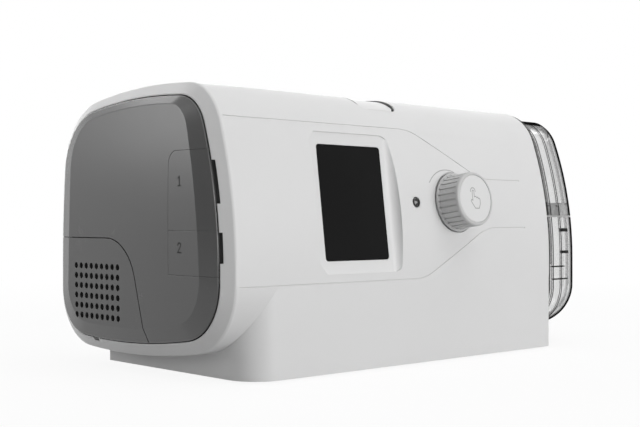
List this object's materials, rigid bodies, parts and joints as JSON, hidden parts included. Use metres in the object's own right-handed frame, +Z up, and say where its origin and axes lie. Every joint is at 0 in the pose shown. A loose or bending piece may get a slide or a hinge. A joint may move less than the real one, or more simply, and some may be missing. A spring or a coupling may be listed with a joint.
{
  "type": "cpap machine",
  "caption": "Bedside CPAP machine: white sleeve on a skirted foot, grey end panel with filter cover and port doors, tilted display, push dial, start key and slide-out clear water tank.",
  "frame": {"origin": "centre of the bounding box in plan, at the undersides of the rubber feet", "axes": "+X from the end panel to the water tank, -Y is the front with the display and the dial, +Z up"},
  "size_m": [0.2812, 0.1718, 0.1348],
  "materials": {
    "white_shell": "fine satin moulded",
    "white_key": "fine satin moulded",
    "grey_panel": "fine satin moulded",
    "grey_door": "fine satin moulded",
    "grey_base": "moulded, light texture",
    "foot_rubber": "matt",
    "screw_steel": "zinc plated",
    "filter_foam": "open cell foam",
    "black_plastic": "moulded",
    "blower_plastic": "moulded",
    "motor_steel": "drawn can",
    "shaft_steel": "ground",
    "soft_silicone": "translucent silicone",
    "copper_stator": "wound",
    "duct_plastic": "moulded",
    "circuit_board": "solder mask",
    "screen_glass": "black display glass",
    "lens_black": "polished",
    "heater_metal": "anodised",
    "tank_metal": "pressed stainless",
    "clear_tank": "clear polycarbonate",
    "tank_silicone": "translucent silicone",
    "dial_grey": "fine satin moulded",
    "dial_face": "fine satin moulded",
    "roof_foam": "acoustic foam",
    "socket_metal": "plated shell"
  },
  "bodies": {
    "housing": {"main_housing": "white_shell", "bottom_cover": "grey_base", "rubber_feet": "foot_rubber", "base_screws": "screw_steel", "end_panel": "grey_panel", "filter_tray": "black_plastic", "inlet_filter": "filter_foam", "inlet_bellows": "soft_silicone", "volute_front": "blower_plastic", "volute_rear": "blower_plastic", "motor_can": "motor_steel", "motor_cap": "motor_steel", "motor_stator": "copper_stator", "motor_bearings": "shaft_steel", "blower_mounts": "soft_silicone", "air_duct": "duct_plastic", "outlet_duct": "duct_plastic", "outlet_port": "white_key", "flow_sensor": "black_plastic", "acoustic_foam": "roof_foam", "humidifier_bay": "grey_base", "port_seals": "soft_silicone", "heater_plate": "heater_metal", "heater_insulator": "black_plastic", "display_window": "screen_glass", "display_module": "black_plastic", "main_board": "circuit_board", "light_sensor": "lens_black", "buzzer": "black_plastic", "encoder_body": "black_plastic", "switch_bracket": "black_plastic", "start_switch": "black_plastic", "port_board": "circuit_board", "usb_socket": "socket_metal", "card_socket": "socket_metal", "data_socket": "socket_metal", "power_board": "circuit_board", "power_jack": "black_plastic", "button_gasket": "foot_rubber"},
    "door_upper": {"port_door_upper": "grey_door"},
    "door_lower": {"port_door_lower": "grey_door"},
    "cover": {"filter_cover": "grey_door"},
    "tank": {"tank_tub": "clear_tank", "tank_heat_plate": "tank_metal"},
    "lid": {"tank_lid": "clear_tank", "tank_seal": "tank_silicone"},
    "dial_stem": {"encoder_plunger": "black_plastic"},
    "dial_turn": {"dial": "dial_grey", "dial_cap": "dial_face", "encoder_shaft": "shaft_steel"},
    "start_key": {"start_button": "white_key"},
    "rotor": {"impeller": "blower_plastic", "impeller_shaft": "shaft_steel", "motor_rotor": "shaft_steel"}
  },
  "joints": [
    {"name": "dial_push", "type": "slide", "parent": "housing", "child": "dial_stem", "axis": [0, 0.9914, -0.1305], "range_m": [0, 0.0008], "stiffness_N_per_m": 2500, "springref_m": -0.0006},
    {"name": "dial_spin", "type": "hinge", "parent": "dial_stem", "child": "dial_turn", "pos_m": [0.0131, -0.07092, 0.08085], "axis": [0, -0.9914, 0.1305], "continuous": true},
    {"name": "start_press", "type": "slide", "parent": "housing", "child": "start_key", "axis": [0, 0.3746, -0.9272], "range_m": [0, 0.0008], "stiffness_N_per_m": 1500, "springref_m": -0.0008},
    {"name": "port_door_upper_hinge", "type": "hinge", "parent": "housing", "child": "door_upper", "pos_m": [-0.1406, -0.03406, 0.08482], "axis": [0, 0, -1], "range_deg": [0, 90]},
    {"name": "port_door_lower_hinge", "type": "hinge", "parent": "housing", "child": "door_lower", "pos_m": [-0.1406, -0.03406, 0.05717], "axis": [0, 0, -1], "range_deg": [0, 90]},
    {"name": "filter_cover_hinge", "type": "hinge", "parent": "housing", "child": "cover", "pos_m": [-0.1406, 0.03689, 0.0631], "axis": [0, 1, 0], "range_deg": [0, 70]},
    {"name": "tank_slide", "type": "slide", "parent": "housing", "child": "tank", "axis": [1, 0, 0], "range_m": [0, 0.12]},
    {"name": "lid_slide", "type": "slide", "parent": "tank", "child": "lid", "axis": [1, 0, 0], "range_m": [0, 0.11]},
    {"name": "impeller_spin", "type": "hinge", "parent": "housing", "child": "rotor", "pos_m": [-0.1066, 0.02329, 0.05], "axis": [1, 0, 0], "continuous": true}
  ]
}
